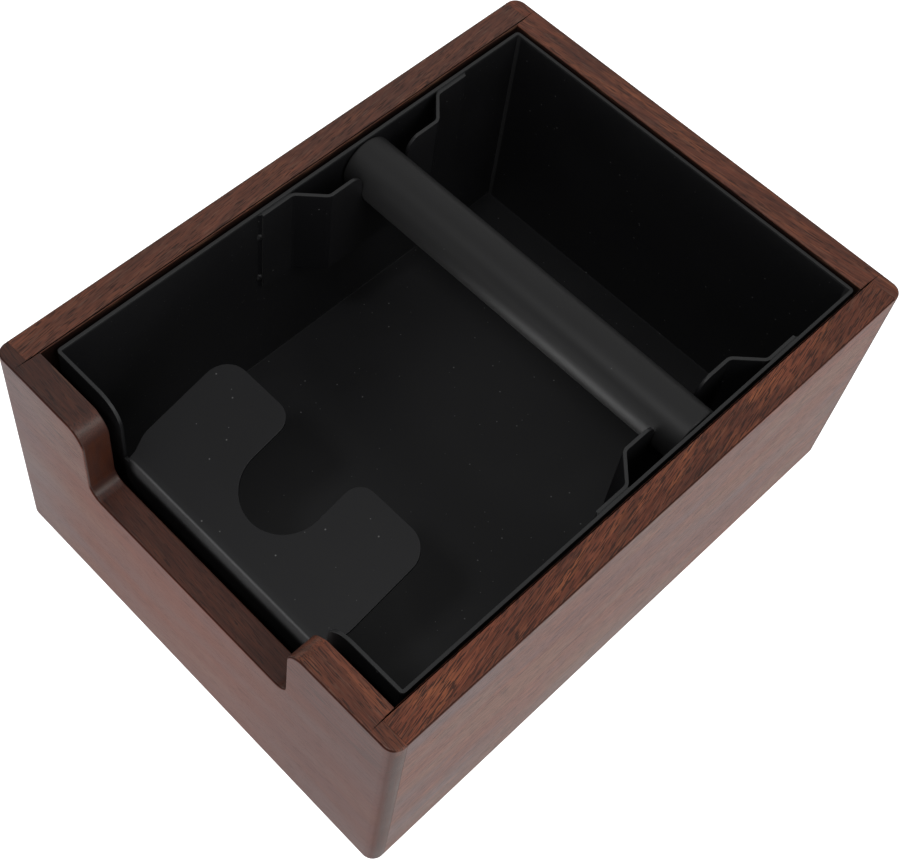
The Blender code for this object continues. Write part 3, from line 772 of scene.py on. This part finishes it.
def front_wall_outline():
    """The liner's front wall as (x, z) corners: two uprights with rounded tops, joined below the fold."""
    relief = REST_FOLD_Z - RELIEF_DEPTH
    right = [
        (PAN_HIGH.x, PAN_LOW.z, 0),
        (PAN_HIGH.x, PAN_HIGH.z, 0),
        (PAN_NOTCH_HALF_WIDTH, PAN_HIGH.z, PAN_NOTCH_RADIUS),
        (PAN_NOTCH_HALF_WIDTH, relief, 0),
        (REST_FOLD_HALF_WIDTH, relief, 0),
        (REST_FOLD_HALF_WIDTH, REST_FOLD_Z, 0),
    ]
    return right + [(-x, z, radius) for x, z, radius in reversed(right)]


def rest_outline():
    """The forked rest as (x, distance from the fold line) corners."""
    flare_start, flare_end = REST_FLARE
    right = [
        (REST_FOLD_HALF_WIDTH, 0.0, 0),
        (REST_FOLD_HALF_WIDTH, *flare_start),
        (REST_HALF_WIDTH, *flare_end),
        (REST_HALF_WIDTH, REST_LENGTH, REST_OUTER_RADIUS),
        (FORK_RADIUS, REST_LENGTH, REST_INNER_RADIUS),
        (FORK_RADIUS, FORK_CENTRE - FORK_RADIUS, FORK_RADIUS * 0.9999),
    ]
    return right + [(-x, s, radius) for x, s, radius in reversed(right)]


def make_liner(mat):
    """One folded sheet: an open pan whose front wall is cut out and folded inwards as the forked rest."""
    bm = bmesh.new()
    add_box(bm, (PAN_HIGH + PAN_LOW) / 2, PAN_HIGH - PAN_LOW)
    open_faces = [f for f in bm.faces if f.normal.z > 0.5 or f.normal.y < -0.5]
    bmesh.ops.delete(bm, geom=open_faces, context="FACES_ONLY")
    bmesh.ops.delete(bm, geom=[edge for edge in bm.edges if not edge.link_faces], context="EDGES")
    wall = rounded_outline(front_wall_outline())
    bm.faces.new([bm.verts.new((point.x, PAN_LOW.y, point.y)) for point in wall])
    rest = []
    for point in rounded_outline(rest_outline()):
        y = PAN_LOW.y + point.y * math.cos(REST_RISE)
        z = REST_FOLD_Z + point.y * math.sin(REST_RISE)
        rest.append(bm.verts.new((point.x, y, z)))
    bm.faces.new(rest)
    bmesh.ops.remove_doubles(bm, verts=bm.verts, dist=TOLERANCE / 2)
    bmesh.ops.recalc_face_normals(bm, faces=bm.faces)
    floor = min(bm.faces, key=lambda face: face.calc_center_median().z)
    if floor.normal.z > 0:
        bmesh.ops.reverse_faces(bm, faces=bm.faces)

    inner = [edge for edge in bm.edges if len(edge.link_faces) == 2]
    folds = [e for e in inner if all(abs(v.co.z - REST_FOLD_Z) < TOLERANCE for v in e.verts)]
    bevel(bm, folds, FOLD_SETBACK, 8)
    inner = [edge for edge in bm.edges if len(edge.link_faces) == 2]
    bevel(bm, [e for e in inner if e.calc_face_angle() > math.radians(80)], PAN_CORNER_RADIUS, 6)
    pan = object_from("liner_sheet", bm)
    thicken(pan, -1.0)
    coated_edges(pan)
    as_piece(pan, "liner", "powder_coat", mat, "liner_pan")


def thicken(obj, offset):
    """Gives a surface the sheet's thickness, inwards of it at offset -1 and half to each side at 0."""
    solid = obj.modifiers.new("Sheet", "SOLIDIFY")
    solid.thickness = SHEET
    solid.offset = offset
    solid.use_even_offset = True
    solid.use_quality_normals = True
    baked(obj)


def bar_slot():
    """The open-topped slot in a bracket's web: a half-round seat with rounded lead-ins at its mouth."""
    seat, top = BAR_RADIUS + SLOT_CLEARANCE, BRACKET_HIGH.z - BAR_CENTRE.z + 0.0001
    beyond = seat + SLOT_LEAD_IN + 0.0005
    right = [
        (seat, -seat, seat * 0.9999),
        (seat, top, SLOT_LEAD_IN),
        (beyond, top, 0),
        (beyond, top + OVERSIZE, 0),
    ]
    outline = rounded_outline(right + [(-y, z, radius) for y, z, radius in reversed(right)], 5.0)
    obj = prism("bar_slot", outline, -OUTER_X, OUTER_X)
    turn = Matrix.Rotation(math.pi / 2, 4, "Z") @ Matrix.Rotation(math.pi / 2, 4, "X")
    obj.data.transform(Matrix.Translation((0.0, BAR_CENTRE.y, BAR_CENTRE.z)) @ turn)
    return obj


def make_bracket(hand, side, mat):
    """A hat-section strip: two flanges on the pan's wall, two slopes and the slotted web between them."""
    reach = (BRACKET_HIGH.y - BRACKET_LOW.y) / 2
    half = [(FLANGE_X, reach), (FLANGE_X, BRACKET_FOOT_HALF), (WEB_X, BRACKET_WEB_HALF)]
    line = [(x, -y) for x, y in half] + [(x, y) for x, y in reversed(half)]
    bm = bmesh.new()
    verts = [bm.verts.new((side * x, BAR_CENTRE.y + y, BRACKET_LOW.z)) for x, y in line]
    strip = [bm.edges.new(pair) for pair in zip(verts, verts[1:])]
    raised = bmesh.ops.extrude_edge_only(bm, edges=strip)["geom"]
    upper = [v for v in raised if isinstance(v, bmesh.types.BMVert)]
    bmesh.ops.translate(bm, verts=upper, vec=(0.0, 0.0, BRACKET_HIGH.z - BRACKET_LOW.z))
    bevel(bm, [e for e in bm.edges if len(e.link_faces) == 2], BRACKET_SETBACK, 5)
    bmesh.ops.recalc_face_normals(bm, faces=bm.faces)
    bracket = object_from(f"bracket_{hand}", bm)
    thicken(bracket, 0.0)
    cut(bracket, bar_slot())
    coated_edges(bracket)
    as_piece(bracket, "liner", "powder_coat", mat, f"{hand}_bar_bracket")
    make_welds(f"bracket_{hand}_welds", side, reach, mat)


def make_welds(name, side, reach, mat):
    """Weld beads at the ends of a bracket's flanges, and the coat that fills the seam around them."""
    wall, lap = PAN_HIGH.x - SHEET, 0.0003
    bm = bmesh.new()
    for end in (-1, 1):
        along = BAR_CENTRE.y + end * (reach + BRACKET_FOOT_HALF) / 2
        tip = BAR_CENTRE.y + end * reach
        fillet = [
            bm.verts.new((side * x, tip + end * y, z))
            for z in (BRACKET_LOW.z + 0.0004, BRACKET_HIGH.z - lap)
            for x, y in ((wall + lap, -lap), (wall + lap, 0.0015), (wall - SHEET + 0.0002, -lap))
        ]
        bmesh.ops.convex_hull(bm, input=fillet)
        seam = Vector((0.0006, reach - BRACKET_FOOT_HALF - 0.0004, 0.0030))
        middle = Vector((side * wall, along, BRACKET_HIGH.z - 0.00004 - seam.z / 2))
        add_box(bm, middle, seam)
        for height in (BRACKET_LOW.z + 0.0055, BRACKET_HIGH.z - 0.0120):
            bead = bmesh.ops.create_icosphere(bm, subdivisions=3, radius=1.0)["verts"]
            place = Vector((side * (wall - 0.0001), tip + end * 0.0005, height))
            for vert in bead:
                ripple = 1.0 + 0.10 * math.sin(5.0 * vert.co.z) * math.cos(4.0 * vert.co.y)
                vert.co = Vector([c * half for c, half in zip(vert.co, BEAD_SIZE)]) * ripple + place
    welds = object_from(name, bm)
    as_piece(welds, "liner", "powder_coat", mat)


def make_bar():
    """A steel rod in a rubber sleeve, laid along X."""
    half, lip, edge = (SLEEVE_HIGH.x - SLEEVE_LOW.x) / 2, 0.0008, 0.0003
    bore = CORE_RADIUS + CORE_CLEARANCE
    sleeve = [(bore + edge, half), (BAR_RADIUS - lip, half)]
    sleeve += arc((BAR_RADIUS - lip, half - lip), lip, 75, 0, 5)
    sleeve += [(r, -z) for r, z in reversed(sleeve)]
    sleeve += [(bore, edge - half), (bore, half - edge)]
    rod_half, chamfer = (CORE_HIGH.x - CORE_LOW.x) / 2, 0.0007
    rod = [(0.0, rod_half - 0.0009), (0.0011, rod_half), (CORE_RADIUS - chamfer, rod_half)]
    rod += [(CORE_RADIUS, rod_half - chamfer)]
    rod += [(r, -z) for r, z in reversed(rod)]
    lay = Matrix.Translation(BAR_CENTRE) @ Matrix.Rotation(math.pi / 2, 4, "Y")
    shapes = (
        (turned("bar_rubber_sleeve", sleeve, 128, closed=True), "bar_rubber", bar_rubber(), "bar_sleeve"),
        (turned("bar_steel_core", rod, 96), "plated_steel", plated_steel(), "bar_core"),
    )
    for obj, slot, mat, node in shapes:
        obj.data.transform(lay)
        finish_shading(obj)
        as_piece(obj, "knock_bar", slot, mat, node)


# ----------------------------------------------------------------------- studio


def make_floor():
    """A lit white table, which the case's sides reflect; the camera itself sees it as pure white."""
    bm = bmesh.new()
    bmesh.ops.create_grid(bm, x_segments=1, y_segments=1, size=2.5)
    floor = object_from("floor", bm)
    floor.location.z = -0.0002
    mat = bpy.data.materials.new("white_table")
    mat.use_nodes = True
    tree = mat.node_tree
    shader = tree.nodes["Principled BSDF"]
    shader.inputs["Base Color"].default_value = (0.35, 0.35, 0.35, 1.0)
    shader.inputs["Roughness"].default_value = 0.9
    shader.inputs["Emission Color"].default_value = (1.0, 1.0, 1.0, 1.0)
    path = tree.nodes.new("ShaderNodeLightPath")
    glow = tree.nodes.new("ShaderNodeMapRange")
    tree.links.new(path.outputs["Is Camera Ray"], glow.inputs[0])
    glow.inputs["To Min"].default_value = 0.56
    glow.inputs["To Max"].default_value = 1.3
    tree.links.new(glow.outputs[0], shader.inputs["Emission Strength"])
    floor.data.materials.append(mat)


def area_light(name, place, target, size, radiance):
    """A rectangular softbox of the given radiance, facing a point."""
    data = bpy.data.lights.new(name, "AREA")
    data.shape = "RECTANGLE"
    data.size, data.size_y = size
    data.energy = math.pi * size[0] * size[1] * radiance
    light = bpy.data.objects.new(name, data)
    light.visible_camera = False
    bpy.context.scene.collection.objects.link(light)
    light.location = place
    light.rotation_euler = (Vector(target) - Vector(place)).to_track_quat("-Z", "Y").to_euler()
    return light


def make_world():
    """A dim room, brighter towards the horizon; what the camera sees of it is white."""
    world = bpy.data.worlds.new("studio")
    bpy.context.scene.world = world
    world.use_nodes = True
    tree = world.node_tree
    back = tree.nodes["Background"]
    direction = tree.nodes.new("ShaderNodeTexCoord").outputs["Generated"]
    split = tree.nodes.new("ShaderNodeSeparateXYZ")
    tree.links.new(direction, split.inputs[0])
    fade = tree.nodes.new("ShaderNodeMapRange")
    fade.interpolation_type = "SMOOTHSTEP"
    tree.links.new(split.outputs["Z"], fade.inputs[0])
    for socket, value in zip(fade.inputs[1:5], (0.02, 0.35, 0.75, 0.14)):
        socket.default_value = value
    path = tree.nodes.new("ShaderNodeLightPath")
    pick = tree.nodes.new("ShaderNodeMix")
    tree.links.new(path.outputs["Is Camera Ray"], pick.inputs[0])
    tree.links.new(fade.outputs[0], pick.inputs[2])
    pick.inputs[3].default_value = 1.0
    tree.links.new(pick.outputs[0], back.inputs["Strength"])
    back.inputs["Color"].default_value = (1.0, 1.0, 1.0, 1.0)


def make_camera():
    """The camera stands over the right front corner and looks down across the case."""
    azimuth, elevation, roll = (math.radians(a) for a in (40.03, 58.07, 6.98))
    back = Vector((
        math.sin(azimuth) * math.cos(elevation),
        -math.cos(azimuth) * math.cos(elevation),
        math.sin(elevation),
    ))
    level = Vector((0.0, 0.0, 1.0)).cross(back).normalized()
    upward = back.cross(level)
    right = level * math.cos(roll) + upward * math.sin(roll)
    up = upward * math.cos(roll) - level * math.sin(roll)
    data = bpy.data.cameras.new("camera")
    data.sensor_width = 36.0
    data.lens = 64.96
    data.shift_x, data.shift_y = 0.0761, -0.0211
    camera = bpy.data.objects.new("camera", data)
    bpy.context.scene.collection.objects.link(camera)
    camera.matrix_world = Matrix((right, up, back)).transposed().to_4x4()
    camera.location = (0.1757, -0.2442, 0.5229)
    bpy.context.scene.camera = camera


def lights_only(light, objects):
    """Limits a light to the objects given."""
    receivers = bpy.data.collections.new(f"{light.name}_receivers")
    for obj in objects:
        receivers.objects.link(obj)
    light.light_linking.receiver_collection = receivers


def make_studio():
    make_floor()
    make_world()
    make_camera()
    middle = (0.0, 0.0, 0.05)
    area_light("overhead", (0.0, 0.5, 1.6), middle, (3.0, 2.6), 0.14)
    area_light("overhead_back", (-0.75, 1.0, 1.28), middle, (1.0, 1.0), 0.14)
    area_light("key", (0.08, -0.72, 1.48), middle, (0.16, 0.16), 40.0)
    area_light("side", (1.30, 0.25, 1.30), middle, (0.9, 0.9), 1.9)
    front = area_light("front", (-0.15, -1.40, 0.11), middle, (1.1, 0.26), 1.0)

    # A little fill from the pan's floor picks out the lower side of the bar only.
    fill = area_light("bar_fill", (0.03, -0.055, 0.016), (0.03, -0.020, 0.090), (0.13, 0.075), 2.9)
    bar = [bpy.data.objects[name] for name in ("bar_rubber_sleeve", "bar_steel_core")]
    lights_only(fill, bar)
    lights_only(front, [obj for obj in bpy.data.objects if obj.type == "MESH" and obj not in bar])
    bpy.context.scene.view_settings.view_transform = "Standard"


make_case()
make_base()
POWDER_COAT = powder_coat()
make_liner(POWDER_COAT)
make_bracket("left", -1, POWDER_COAT)
make_bracket("right", 1, POWDER_COAT)
make_bar()
make_studio()
